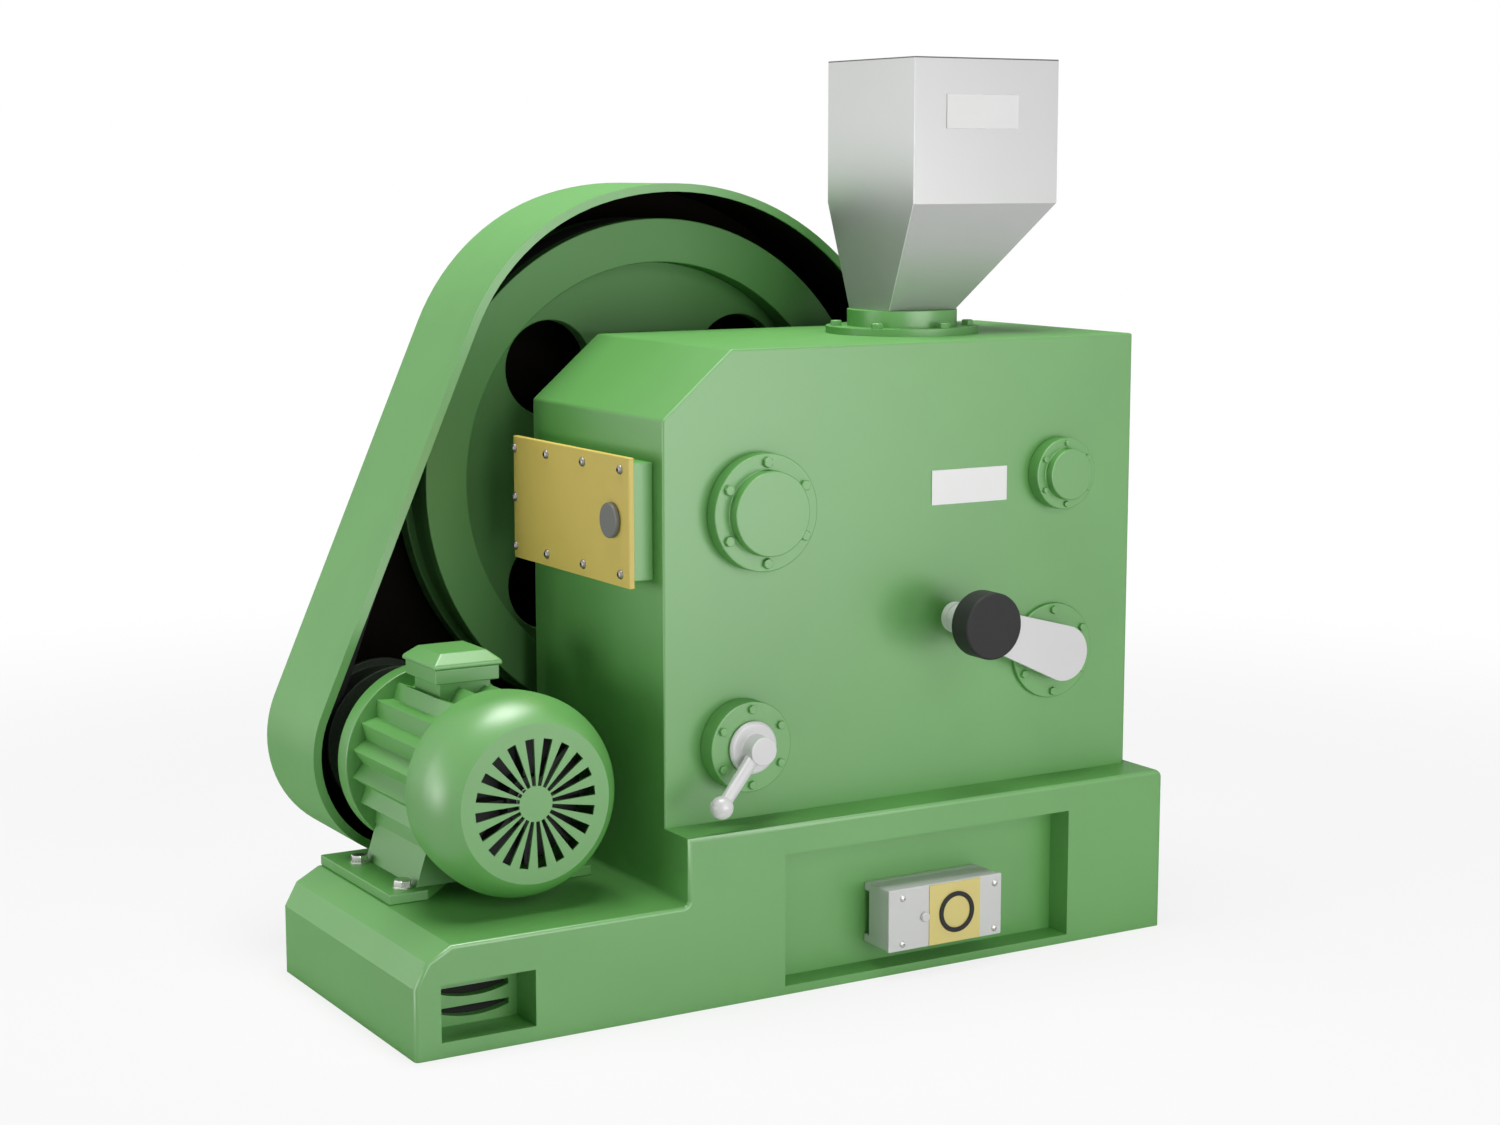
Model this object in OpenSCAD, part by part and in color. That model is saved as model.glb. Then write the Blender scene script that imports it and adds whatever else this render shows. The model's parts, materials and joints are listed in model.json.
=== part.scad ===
// Laboratory jaw crusher on a stepped base, belt driven, with flywheel guard and feed hopper.
// Millimetres, +Z up, front (controls) towards -Y, origin at the centre of the base underside.

/* [Base] */
// Length of the base along X
base_len = 1000; // [900:1:1100]
// Depth of the base along Y
base_depth = 378; // [340:1:420]
// Height of the low deck under the motor
low_deck = 122; // [100:1:140]
// Height of the high deck under the crusher housing
high_deck = 198; // [170:1:230]
// Length of the low deck, from the left end to the step
step_x = 330; // [310:1:350]
// Length of the folded left end along X
end_len = 43; // [30:1:60]
// Drop of the folded left end along Z
end_drop = 42.5; // [30:0.5:60]
// Length of the steep fold along X
fold_len = 15; // [8:1:22]
// Rise of the steep fold along Z
fold_rise = 27; // [16:1:36]
// Radius of the rounded right top edge
right_round = 10; // [4:1:20]
// Depth of the control recess
recess_deep = 36; // [26:1:44]
// Depth of the vent recess
vent_deep = 48; // [40:1:56]
// Left end of the control recess
niche_x = 455; // [430:1:480]
// Length of the control recess
niche_len = 401; // [360:1:430]
// Lower edge of the control recess
niche_z = 10; // [8:1:20]
// Height of the control recess
niche_high = 154; // [130:1:170]
// Left end of the vent recess
vent_x = 30; // [24:1:44]
// Length of the vent recess
vent_len = 111; // [90:1:140]
// Lower edge of the vent recess
vent_z = 17; // [12:1:22]
// Height of the vent recess
vent_high = 63; // [50:1:70]
// Length of a louvre slot
vent_slot_w = 80; // [60:1:96]
// Depth of a louvre slot behind the recess
vent_slot_deep = 12; // [8:1:16]
// Room of the chute beside the discharge slot
chute_room = 10; // [6:1:14]

/* [Housing] */
// Housing front face behind the base front
house_front = 55; // [40:1:80]
// Housing length along X
house_len = 653; // [620:1:665]
// Housing height above the high deck
house_high = 534; // [500:1:580]
// Chamfer length along X
chamfer_x = 88; // [50:1:120]
// Chamfer drop along Z
chamfer_z = 75; // [40:1:110]

/* [Hopper] */
// Feed axis behind the left end of the base
feed_x = 752; // [735:1:770]
// Feed axis behind the base front
feed_y = 214; // [205:1:222]
// Feed flange radius
feed_flange_r = 93; // [86:1:100]
// Feed flange thickness
feed_flange_t = 8.5; // [6:0.5:14]
// Feed neck radius
feed_neck_r = 67; // [65:1:74]
// Feed neck height above the flange
feed_neck_h = 20; // [14:1:30]
// Hopper sheet
hopper_sheet = 3; // [2:0.5:5]
// Hopper mouth length along X
mouth_x = 210; // [180:1:240]
// Hopper mouth depth along Y
mouth_y = 188; // [160:1:220]
// Hopper outlet length along X
outlet_x = 97; // [80:1:99]
// Hopper outlet depth along Y
outlet_y = 88; // [76:1:90]
// Height of the tapered part
taper_high = 128; // [100:1:160]
// Height of the upright part
skirt_high = 171; // [130:1:210]
// Label plate length
label_w = 104; // [80:1:120]
// Label plate height
label_h = 40; // [30:1:50]
// Label plate from the left edge of the hopper
label_in = 46; // [30:1:60]
// Label plate top under the hopper mouth
label_down = 43; // [30:1:60]
// Thickness of both bare plates
label_t = 1.5; // [1:0.5:3]

/* [Front covers] */
// Large bearing cover along X
large_x = 452; // [440:1:470]
// Large bearing cover height
large_z = 549; // [530:1:570]
// Large bearing cover flange radius
large_r = 67; // [60:1:75]
// Small bearing cover along X
small_x = 871; // [855:1:885]
// Small bearing cover height
small_z = 568.5; // [560:0.5:590]
// Small bearing cover flange radius
small_r = 43; // [38:1:46]
// Cover flange thickness
cover_t = 19; // [12:1:24]
// Large cover boss height over the flange
large_boss_t = 15; // [8:1:16]
// Small cover boss height over the flange
small_boss_t = 11.5; // [8:0.5:16]
// Large cover step from the flange to the boss
large_step = 19; // [14:1:24]
// Small cover step from the flange to the boss
small_step = 12.5; // [8:0.5:16]
// Name plate left end
name_x = 688; // [660:1:710]
// Name plate lower edge
name_z = 540; // [520:1:560]
// Name plate length
name_w = 108; // [90:1:120]
// Name plate height
name_h = 41; // [30:1:50]

/* [Gap crank] */
// Crank axis along X
crank_x = 865; // [850:1:875]
// Crank axis height
crank_z = 352; // [345:1:360]
// Crank flange radius
crank_flange_r = 58; // [50:1:64]
// Crank flange thickness
crank_flange_t = 6; // [4:0.5:9]
// Crank arm length between axes
crank_len = 167; // [150:1:172]
// Crank arm angle above the level, to the left
crank_rise = 20; // [10:1:30]
// Crank hub radius
crank_hub_r = 33.5; // [30:0.5:40]
// Crank small end radius
crank_end_r = 18; // [15:1:22]
// Crank arm thickness
crank_arm_t = 10; // [8:1:14]
// Skin of the arm in front of the spindle
arm_skin = 4; // [2:0.5:6]
// Spindle radius
spindle_r = 14; // [10:1:18]
// Gap between crank flange and arm
crank_gap = 14; // [10:0.5:18]
// Knob radius
knob_r = 39; // [30:1:42]
// Knob thickness
knob_t = 32; // [24:1:38]
// Height of the small end's boss over the arm
end_boss_t = 16; // [10:1:20]
// Boss radius less than the small end
end_boss_in = 1; // [0.5:0.5:3]
// Knob stem length over the boss
stem_len = 23; // [18:1:32]
// Knob stem radius
stem_r = 11; // [8:1:14]

/* [Clamp lever] */
// Lever axis along X
lever_x = 428; // [415:1:440]
// Lever axis height
lever_z = 285.5; // [283:0.5:300]
// Lever flange radius
lever_flange_r = 52; // [46:1:58]
// Lever flange thickness
lever_flange_t = 26; // [20:1:30]
// Lever hub radius
lever_hub_r = 30.5; // [26:0.5:36]
// Lever hub thickness
lever_hub_t = 6; // [4:0.5:9]
// Gap between lever flange and hub
lever_gap = 1; // [0.6:0.1:2]
// Post radius
post_r = 16.5; // [13:0.5:20]
// Post length over the hub
post_len = 21; // [19:0.5:26]
// Rod length from the axis to the ball centre
rod_len = 84; // [74:1:88]
// Rod radius at the post
rod_r = 8.5; // [6:0.5:9]
// Rod radius at the ball
rod_end_r = 7; // [5:0.5:8]
// Rod angle away from the housing
rod_tilt = 15; // [8:1:22]
// Rod axis behind the post front
rod_back = 14; // [12:0.5:16]
// Ball radius
ball_r = 13; // [10:0.5:14]
// Lever angle below the level, to the left
lever_drop = 42.5; // [30:0.5:46]

/* [Side cover] */
// Side cover length along Y
side_len = 291; // [260:1:304]
// Side cover height
side_high = 146; // [120:1:160]
// Side cover centre height
side_z = 543; // [520:1:560]
// Side cover plate thickness
side_t = 7; // [4:1:10]
// Side cover block thickness
side_block_t = 27; // [18:1:34]
// Overhang of the plate around the block
side_lap = 7; // [4:1:12]
// Inspection plug radius
plug_r = 20; // [14:1:26]
// Inspection plug from the front end of the cover
plug_in = 40; // [30:1:60]
// Inspection plug height
plug_t = 6; // [3:0.5:9]

/* [Controls] */
// Control box left end
ctrl_x = 585; // [560:1:610]
// Control box lower edge
ctrl_z = 34; // [26:1:44]
// Control box length
ctrl_len = 158; // [140:1:180]
// Control box height
ctrl_high = 72; // [60:1:84]
// Control box rail depth
rail_t = 10; // [6:1:14]
// Control box body depth
ctrl_body_t = 38; // [30:1:46]
// Control box cover thickness
ctrl_cover_t = 6; // [4:1:10]
// Control rail height
rail_h = 10; // [6:1:14]
// Yellow panel from the left end of the box
panel_in = 55; // [55:1:62]
// Yellow panel length
panel_w = 72; // [60:1:80]
// Ring centre from the left end of the panel
ring_in = 38; // [32:1:42]
// Ring radius
ring_r = 24.5; // [20:0.5:28]
// Ring stroke
ring_w = 5.5; // [4:0.5:8]
// Ring thickness
ring_t = 2; // [1:0.5:4]
// Button radius
button_r = 5.5; // [4:0.5:6]
// Button length
button_len = 5; // [3:0.5:10]

/* [Flywheel] */
// Flywheel axis along X
wheel_x = 525; // [518:1:532]
// Flywheel axis height
wheel_z = 552; // [545:1:558]
// Flywheel radius
wheel_r = 317; // [300:1:318]
// Width of the rim from its edge inwards
rim_w = 54; // [48:1:64]
// Flywheel width
wheel_w = 92; // [80:1:96]
// Gap from the housing back to the flywheel
wheel_gap = 42; // [36:1:52]
// Web thickness
web_t = 24; // [16:1:32]
// Hub radius
hub_r = 74; // [60:1:90]
// Lightening hole radius
hole_r = 59; // [50:1:62]
// Web left between a lightening hole and the rim
hole_gap = 14; // [10:1:18]
// Drive shaft radius
shaft_r = 30; // [24:1:36]
// Drive shaft front end behind the housing front
shaft_in = 40; // [34:1:50]
// Drive shaft back end behind the flywheel
shaft_out = 6; // [4:0.5:9]
// Length of the front bearing seat
seat_len = 60; // [40:1:80]
// Room round the shaft between its seats
bore_room = 4; // [2:0.5:6]
// Rear bearing flange radius
bearing_r = 78; // [66:1:90]
// Rear bearing flange thickness
bearing_t = 14; // [10:1:18]
// Rear bearing nose radius
nose_r = 54; // [44:1:62]
// Room from the rear bearing to the flywheel
nose_gap = 6; // [5:0.5:9]

/* [Guard] */
// Guard depth along Y
guard_deep = 152; // [146:1:170]
// Guard sheet
guard_sheet = 4; // [2:0.5:5]
// Guard lip width
guard_lip = 10; // [7:0.5:14]
// Room from the flywheel to the top of the guard
guard_top_gap = 43; // [36:1:50]
// Room from the flywheel to the straight side of the guard
guard_side_gap = 13; // [10:1:16]
// Room from the motor pulley to the guard
guard_low_gap = 39; // [30:1:46]
// Centre of the corner arc from the flywheel axis, towards the straight side
guard_corner = 55; // [40:1:64]

/* [Belt drive] */
// Belt width
belt_w = 50; // [40:1:60]
// Belt thickness
belt_t = 9; // [7:0.5:11]
// Motor pulley radius
pulley_r = 92; // [80:1:100]
// Motor pulley width
pulley_w = 66; // [60:1:76]
// Clearance of the belt in its groove
belt_clear = 0.3; // [0.2:0.05:0.6]
// Belt behind the flywheel's front face
belt_in = 18; // [14:1:24]

/* [Motor] */
// Motor axis along X
motor_x = 172; // [165:1:180]
// Motor base plate thickness
plate_t = 12; // [8:1:16]
// Shaft height of the motor over the base plate
motor_h = 112; // [106:1:118]
// Fan cowl front face behind the base front
cowl_front = 58; // [50:1:70]
// Fan cowl radius where it's widest
cowl_r = 114.5; // [112:0.5:118]
// Fan cowl radius lost from there to its back edge
cowl_waist = 5.5; // [3:0.5:6]
// Fan cowl radius lost from there to its flat face
cowl_edge = 25; // [20:1:30]
// Fan cowl length
cowl_len = 104; // [96:1:120]
// Widest point of the cowl behind its face
cowl_belly = 50; // [40:1:60]
// Cowl sheet
cowl_sheet = 3; // [2:0.5:4]
// Grille slot inner radius
slot_in = 20; // [16:1:26]
// Grille slot outer radius
slot_out = 72.5; // [60:0.5:80]
// Grille slot inner width
slot_in_w = 4.2; // [3:0.1:4.4]
// Grille slot outer width
slot_out_w = 11; // [8:0.5:13]
// Grille slot turn
slot_turn = 5.5; // [0:0.5:18]
// Fin tip radius
fin_r = 103; // [98:1:106]
// Fin root radius
fin_root_r = 90; // [84:1:94]
// Turn of the fins about the motor axis
fin_turn = -2; // [-9:0.5:9]
// Motor back face behind the base front
motor_back = 356; // [345:1:366]
// Drive end flange thickness
drive_t = 26; // [18:1:32]
// Drive end flange radius over the fins
drive_lap = 7; // [5:0.5:9]
// Foot plate half length along X
plate_half = 126; // [116:1:134]
// Foot plate front edge behind the base front
plate_front = 172; // [160:1:184]
// Foot plate front tab length
plate_tab = 47; // [36:1:56]
// Foot plate front cut depth
plate_cut = 58; // [46:1:66]
// Foot plate middle half length
plate_mid = 27; // [20:1:34]
// Foot plate back edge before the base back
plate_back = 2; // [1:0.5:4]
// Foot web half length at the plate
web_low = 88; // [78:1:96]
// Foot web half length at the body
web_high = 66; // [58:1:72]
// Foot web length along Y
web_len = 145; // [120:1:150]
// Terminal box offset from the motor axis
term_off = -4.5; // [-10:0.5:10]
// Terminal box front behind the base front
term_front = 220; // [205:1:235]
// Terminal box length along X
term_w = 79; // [66:1:92]
// Terminal box depth along Y
term_d = 86; // [72:1:98]
// Terminal box height
term_h = 17; // [12:1:24]
// Terminal box height over the fins
term_up = 5; // [3:0.5:8]
// Terminal neck inset from the box
neck_in = 8; // [5:1:14]
// Terminal lid overhang
lid_lap = 3; // [2:0.5:6]
// Terminal lid rim height
lid_rim = 5; // [3:0.5:8]
// Terminal lid bevel height
lid_bevel = 12; // [8:0.5:16]
// Terminal lid bevel inset
lid_in = 14; // [10:0.5:18]
// Motor shaft radius
motor_shaft_r = 14; // [12:1:19]
// Motor shaft end behind its pulley
shaft_end = 4; // [2:0.5:6]
// Room round the shaft in the motor
rotor_room = 3; // [2:0.5:5]
// Motor body inside the fan cowl
body_in = 20; // [16:1:24]
// Seat of the cowl on the motor body
cowl_seat = 12; // [8:1:14]
// Number of grille slots
slots = 20; // [16:2:24]
// Number of fins round the motor
fins = 20; // [16:2:24]
// Fan radius
fan_r = 78; // [66:1:88]
// Fan hub radius
fan_hub_r = 26; // [22:1:32]
// Fan disc thickness
fan_t = 6; // [4:0.5:8]
// Fan hub length
fan_len = 34; // [30:1:38]
// Fan blade length towards the front
fan_blade = 24; // [18:1:26]
// Fan blade thickness
fan_blade_t = 4; // [3:0.5:6]
// Fan hub front behind the cowl front
fan_in = 20; // [14:1:26]
// Fan blades
fan_blades = 8; // [6:1:10]
// Fan blade root inside the hub
fan_root = 5; // [3:0.5:8]

/* [Crushing chamber] */
// Jaw width along Y
jaw_w = 88; // [76:1:96]
// Jaw plate thickness
jaw_t = 22; // [16:1:28]
// Chamber depth under the housing top
chamber_deep = 300; // [260:1:340]
// Discharge gap between the jaws
jaw_gap = 24; // [14:1:34]
// Jaw rib radius
jaw_rib = 4; // [3:0.5:5]
// Jaw ribs
ribs = 7; // [5:1:8]
// Outer rib from the edge of the jaw
rib_edge = 9; // [7:0.5:12]
// Jaw tops under the housing top
jaw_down = 6; // [4:0.5:9]
// Swing jaw end above the discharge slot
jaw_lift = 30; // [24:1:36]
// Share of the swing jaw thickness at its low end
jaw_low_share = 0.9; // [0.8:0.02:0.98]

/* [Hidden] */
$fn = 96;
x0 = -base_len / 2;
y0 = -base_depth / 2;
yb = base_depth / 2;
hf = y0 + house_front;
hl = x0 + step_x;
hr = hl + house_len;
ht = high_deck + house_high;
fx = x0 + feed_x;
fy = y0 + feed_y;
neck_z = ht + feed_flange_t + feed_neck_h;
fold_z = neck_z + taper_high;
top_z = fold_z + skirt_high;
wx = x0 + wheel_x;
wy = yb + wheel_gap;
mx = x0 + motor_x;
mz = low_deck + plate_t + motor_h;
belt_y = wy + belt_in;
run = 0.05;
slip = 0.5;
cover_lap = 1;
end_room = 2;
nudge = 0.02;
spindle_in = 40;
pivot_r = 10;
sp_clear = 0.3;
crank_dir = 180 - crank_rise;
lever_dir = 180 + lever_drop;
kx = x0 + crank_x;
vx = x0 + lever_x;
kf = hf - crank_flange_t;
ka = kf - crank_gap;
ks = ka - crank_arm_t - end_boss_t;
vf = hf - lever_flange_t;
vh = vf - lever_gap - lever_hub_t;
vp = vh - post_len;
sc = hl - side_block_t;
sy = hf + (yb - hf) / 2;
rb = y0 + recess_deep;
vb = y0 + vent_deep;
cb = rb - rail_t;
cf = cb - ctrl_body_t;
cx = x0 + ctrl_x;
cd = [wx - mx, wheel_z - mz];
cl = norm(cd);
ca = atan2(cd[1], cd[0]);
belt_r = wheel_r;
wheel_rim_r = wheel_r - rim_w;
face_arc = (cowl_belly * cowl_belly + cowl_edge * cowl_edge) / (2 * cowl_edge);
back_len = cowl_len - cowl_belly;
back_arc = (back_len * back_len + cowl_waist * cowl_waist) / (2 * cowl_waist);
hole_pitch = wheel_rim_r - hole_gap - hole_r;
guard_r = wheel_r + guard_top_gap;
guard_side = wheel_r + guard_side_gap;
guard_low_r = pulley_r + guard_low_gap;
corner_r = guard_side - guard_corner;
corner_rise = sqrt(pow(guard_r - corner_r, 2) - guard_corner * guard_corner);
fin_end = y0 + motor_back - drive_t;
term_x = mx + term_off;
term_y = y0 + term_front;
term_z = mz + fin_r + term_up;
lid_z = term_z + term_h;
rod_y = vp + rod_back;
rod_dir = [cos(lever_dir) * cos(rod_tilt), -sin(rod_tilt), sin(lever_dir) * cos(rod_tilt)];
ball_at = [vx, rod_y, lever_z] + rod_len * rod_dir;
web_y = wy + wheel_w / 2 - web_t / 2;
groove_r = wheel_r - belt_t - belt_clear;
pull_groove_r = pulley_r - belt_t - belt_clear;
jaw_top = ht - jaw_down;
rib_pitch = (jaw_w - 2 * rib_edge) / (ribs - 1);
louvre_h = vent_high * 0.2;
louvre_mid = x0 + vent_x + vent_len * 0.55;
louvre_high = vent_z + vent_high * 0.675;
louvre_low = vent_z + vent_high * 0.325;
slot_r = fx + outlet_x / 2;
slot_l = slot_r - jaw_gap;
hopper_l = fx - outlet_x / 2;
hopper_f = fy - mouth_y / 2;
hopper_b = fy + mouth_y / 2;
pulley_y = belt_y + belt_w / 2 + pulley_w / 2;
jaw_low = ht - chamber_deep;
chamber_l = fx - outlet_x / 2 - jaw_t;
chamber_r = fx + outlet_x / 2 + jaw_t;
swing_in = outlet_x - jaw_gap;

function pt(c, r, a) = [c[0] + r * cos(a), c[1] + r * sin(a)];

// Two discs and the slab between their outer tangents, an exact solid from the plane y towards the front
module loop(y, t, c1, r1, c2, r2) {
    d = [c1[0] - c2[0], c1[1] - c2[1]];
    b = atan2(d[1], d[0]);
    s = asin((r1 - r2) / norm(d));
    union() {
        disc(c1[0], y, c1[1], r1, t);
        disc(c2[0], y, c2[1], r2, t);
        upright(y, t)
            polygon([pt(c2, r2 - nudge, b + 90 + s), pt(c1, r1 - nudge, b + 90 + s),
                pt(c1, r1 - nudge, b - 90 - s), pt(c2, r2 - nudge, b - 90 - s)]);
    }
}

// Guard solid grown by o: the large arc is cut off by the straight left side and a wider corner arc
module guard_solid(y, t, o) {
    sl = asin((guard_side - guard_low_r) / cl);
    sr = asin((guard_r - guard_low_r) / cl);
    nl = ca + 90 + sl;
    nr = ca - 90 - sr;
    m = [mx, mz];
    w = [wx, wheel_z];
    union() {
        disc(mx, y, mz, guard_low_r + o, t);
        difference() {
            union() {
                disc(wx, y, wheel_z, guard_r + o, t);
                upright(y, t)
                    polygon([pt(m, guard_low_r + o - nudge, nl), pt(w, guard_side + o, nl),
                        pt(w, guard_r + o - nudge, nr), pt(m, guard_low_r + o - nudge, nr)]);
            }
            upright(y + 1, t + 2)
                translate(w)
                    rotate(nl)
                        translate([guard_side + o, -guard_r * 2])
                            square([guard_r, guard_r * 4]);
            corner_cut(y + 1, t + 2, o, nl);
        }
    }
}

// What lies outside the corner arc, which meets the straight side and the large arc smoothly
module corner_cut(y, t, o, nl) {
    n = [cos(nl), sin(nl)];
    u = [sin(nl), -cos(nl)];
    c = [wx, wheel_z] + n * guard_corner + u * corner_rise;
    e = n * guard_corner + u * corner_rise;
    far = 2 * guard_r;
    difference() {
        upright(y, t)
            polygon([c, c + n * far, c + (n + u) * far, c + e * far / norm(e)]);
        disc(c[0], y + 1, c[1], corner_r + o - nudge, t + 2);
    }
}

// Puts a drawing of X and Z upright, growing from the plane y towards the front
module upright(y, t) {
    translate([0, y, 0])
        rotate([90, 0, 0])
            linear_extrude(t)
                children();
}

// Disc on an axis along Y, from the plane y towards the front
module disc(x, y, z, r, t) {
    translate([x, y, z])
        rotate([90, 0, 0])
            cylinder(r = r, h = t);
}

// Box from its low corner and sizes
module box(p, s) {
    translate(p)
        cube(s);
}

module base_outline() {
    difference() {
        union() {
            translate([x0, 0])
                square([base_len, low_deck]);
            translate([hl, 0])
                square([base_len - step_x, high_deck]);
        }
        translate([x0, low_deck - end_drop])
            polygon([[-1, 0], [0, 0], [fold_len, fold_rise], [end_len, end_drop],
                [end_len, end_drop + 1], [-1, end_drop + 1]]);
        translate([-x0 - right_round, high_deck - right_round])
            difference() {
                square([right_round, right_round]);
                circle(r = right_round);
            }
    }
}

module vent_slot(z) {
    g = louvre_h / 2;
    r = (vent_slot_w * vent_slot_w / 4 + g * g) / (2 * g);
    translate([louvre_mid, z])
        intersection() {
            translate([0, r - louvre_h])
                circle(r = r);
            translate([-vent_slot_w / 2, -louvre_h - 1])
                square([vent_slot_w, louvre_h + 1]);
        }
}

module base() {
    color("#5fa15c")
        difference() {
            upright(yb, base_depth)
                base_outline();
            box([x0 + niche_x, y0 - 1, niche_z], [niche_len, recess_deep + 1, niche_high]);
            box([x0 + vent_x, y0 - 1, vent_z], [vent_len, vent_deep + 1, vent_high]);
            upright(vb + vent_slot_deep, vent_slot_deep + 1)
                vent_slot(louvre_high);
            upright(vb + vent_slot_deep, vent_slot_deep + 1)
                vent_slot(louvre_low);
            box([slot_l - chute_room, fy - jaw_w / 2, -1], [jaw_gap + 2 * chute_room, jaw_w, high_deck + 2]);
        }
}

module housing() {
    color("#5fa15c")
        difference() {
            upright(yb, yb - hf)
                polygon([[hl, high_deck], [hr, high_deck], [hr, ht],
                    [hl + chamfer_x, ht], [hl, ht - chamfer_z]]);
            upright(fy + jaw_w / 2, jaw_w)
                polygon([[chamber_l, ht + 1], [chamber_r, ht + 1], [chamber_r, jaw_low],
                    [slot_r, jaw_low], [slot_r, high_deck - 1], [slot_l, high_deck - 1], [slot_l, jaw_low],
                    [chamber_l + swing_in, jaw_low], [chamber_l, jaw_top]]);
            disc(wx, yb + 1, wheel_z, shaft_r + bore_room, yb + 1 - hf - shaft_in - seat_len);
            disc(wx, yb + 1, wheel_z, shaft_r + run, yb + 1 - hf - shaft_in + end_room);
            disc(kx, hf + spindle_in, crank_z, spindle_r + run, spindle_in + 1);
        }
}

module feed_flange() {
    color("#5fa15c")
        difference() {
            union() {
                translate([fx, fy, ht])
                    cylinder(r = feed_flange_r, h = feed_flange_t);
                translate([fx, fy, ht])
                    cylinder(r = feed_neck_r, h = feed_flange_t + feed_neck_h);
            }
            box([fx - outlet_x / 2 + hopper_sheet, fy - outlet_y / 2 + hopper_sheet, ht - 1],
                [outlet_x - 2 * hopper_sheet, outlet_y - 2 * hopper_sheet, feed_flange_t + feed_neck_h + 2]);
        }
}

// Solid of the hopper, inset by i: a box over a taper with an upright left wall
module hopper_solid(i, e) {
    l = hopper_l + i;
    r = hopper_l + mouth_x - i;
    o = fx + outlet_x / 2 - i;
    f = fy - outlet_y / 2 + i;
    b = fy + outlet_y / 2 - i;
    intersection() {
        upright(yb * 2, yb * 4)
            polygon([[l, neck_z - e], [o, neck_z - e], [o, neck_z],
                [r, fold_z], [r, top_z + e], [l, top_z + e]]);
        rotate([90, 0, 90])
            translate([0, 0, l - 1])
                linear_extrude(mouth_x + 2)
                    polygon([[f, neck_z - e], [b, neck_z - e], [b, neck_z], [hopper_b - i, fold_z],
                        [hopper_b - i, top_z + e], [hopper_f + i, top_z + e],
                        [hopper_f + i, fold_z], [f, neck_z]]);
    }
}

module hopper() {
    color("#b9bcbb")
        difference() {
            hopper_solid(0, 0);
            hopper_solid(hopper_sheet, 1);
        }
}

module hopper_label() {
    color("#e8e8e4")
        box([hopper_l + label_in, hopper_f - label_t, top_z - label_down - label_h],
            [label_w, label_t, label_h]);
}

module name_plate() {
    color("#f0f0ec")
        box([x0 + name_x, hf - label_t, name_z], [name_w, label_t, name_h]);
}

module cover(x, z, r, step, boss_t) {
    union() {
        disc(x, hf, z, r, cover_t);
        disc(x, hf, z, r - step, cover_t + boss_t);
    }
}

module large_cover() {
    color("#5fa15c")
        cover(x0 + large_x, large_z, large_r, large_step, large_boss_t);
}

module small_cover() {
    color("#5fa15c")
        cover(x0 + small_x, small_z, small_r, small_step, small_boss_t);
}

module crank_flange() {
    color("#5fa15c")
        difference() {
            disc(kx, hf, crank_z, crank_flange_r, crank_flange_t);
            disc(kx, hf + 1, crank_z, spindle_r + sp_clear, crank_flange_t + 2);
        }
}

module lever_flange() {
    color("#5fa15c")
        difference() {
            disc(vx, hf, lever_z, lever_flange_r, lever_flange_t);
            disc(vx, hf - 1, lever_z, pivot_r + run, lever_flange_t);
        }
}

module side_block() {
    color("#5fa15c")
        box([sc, sy - side_len / 2 + side_lap, side_z - side_high / 2 + side_lap],
            [side_block_t, side_len - 2 * side_lap, side_high - 2 * side_lap]);
}

module side_cover() {
    color("#b9a758")
        box([sc - side_t, sy - side_len / 2, side_z - side_high / 2], [side_t, side_len, side_high]);
}

module side_plug() {
    color("#77787a")
        translate([sc - side_t, sy - side_len / 2 + plug_in, side_z])
            rotate([0, -90, 0])
                cylinder(r = plug_r, h = plug_t);
}

module control_rails() {
    color("#c9cbc9") {
        box([cx, cb, ctrl_z], [ctrl_len, rail_t, rail_h]);
        box([cx, cb, ctrl_z + ctrl_high - rail_h], [ctrl_len, rail_t, rail_h]);
    }
}

module control_box() {
    color("#c9cbc9")
        box([cx, cf, ctrl_z], [ctrl_len, ctrl_body_t, ctrl_high]);
}

module control_cover() {
    color("#d4d6d4")
        box([cx - cover_lap, cf - ctrl_cover_t, ctrl_z - cover_lap],
            [ctrl_len + 2 * cover_lap, ctrl_cover_t, ctrl_high + 2 * cover_lap]);
}

module control_panel() {
    color("#d8c26e")
        box([cx + panel_in, cf - ctrl_cover_t - label_t, ctrl_z], [panel_w, label_t, ctrl_high]);
}

module control_ring() {
    x = cx + panel_in + ring_in;
    y = cf - ctrl_cover_t - label_t;
    z = ctrl_z + ctrl_high / 2;
    color("#26272a")
        difference() {
            disc(x, y, z, ring_r, ring_t);
            disc(x, y + 1, z, ring_r - ring_w, ring_t + 2);
        }
}

module control_knob() {
    color("#c9cbc9")
        disc(cx + panel_in - button_r - cover_lap, cf - ctrl_cover_t, ctrl_z + ctrl_high / 2,
            button_r, button_len);
}

module jaw_ribs(y, z1, z2) {
    for (i = [0 : ribs - 1])
        translate([0, y - jaw_w / 2 + rib_edge + i * rib_pitch, z1])
            cylinder(r = jaw_rib, h = z2 - z1, $fn = 24);
}

module fixed_jaw() {
    color("#8d8f90")
        union() {
            box([chamber_r - jaw_t, fy - jaw_w / 2, jaw_low], [jaw_t, jaw_w, jaw_top - jaw_low]);
            translate([chamber_r - jaw_t, 0, 0])
                jaw_ribs(fy, jaw_low, jaw_top);
        }
}

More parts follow.
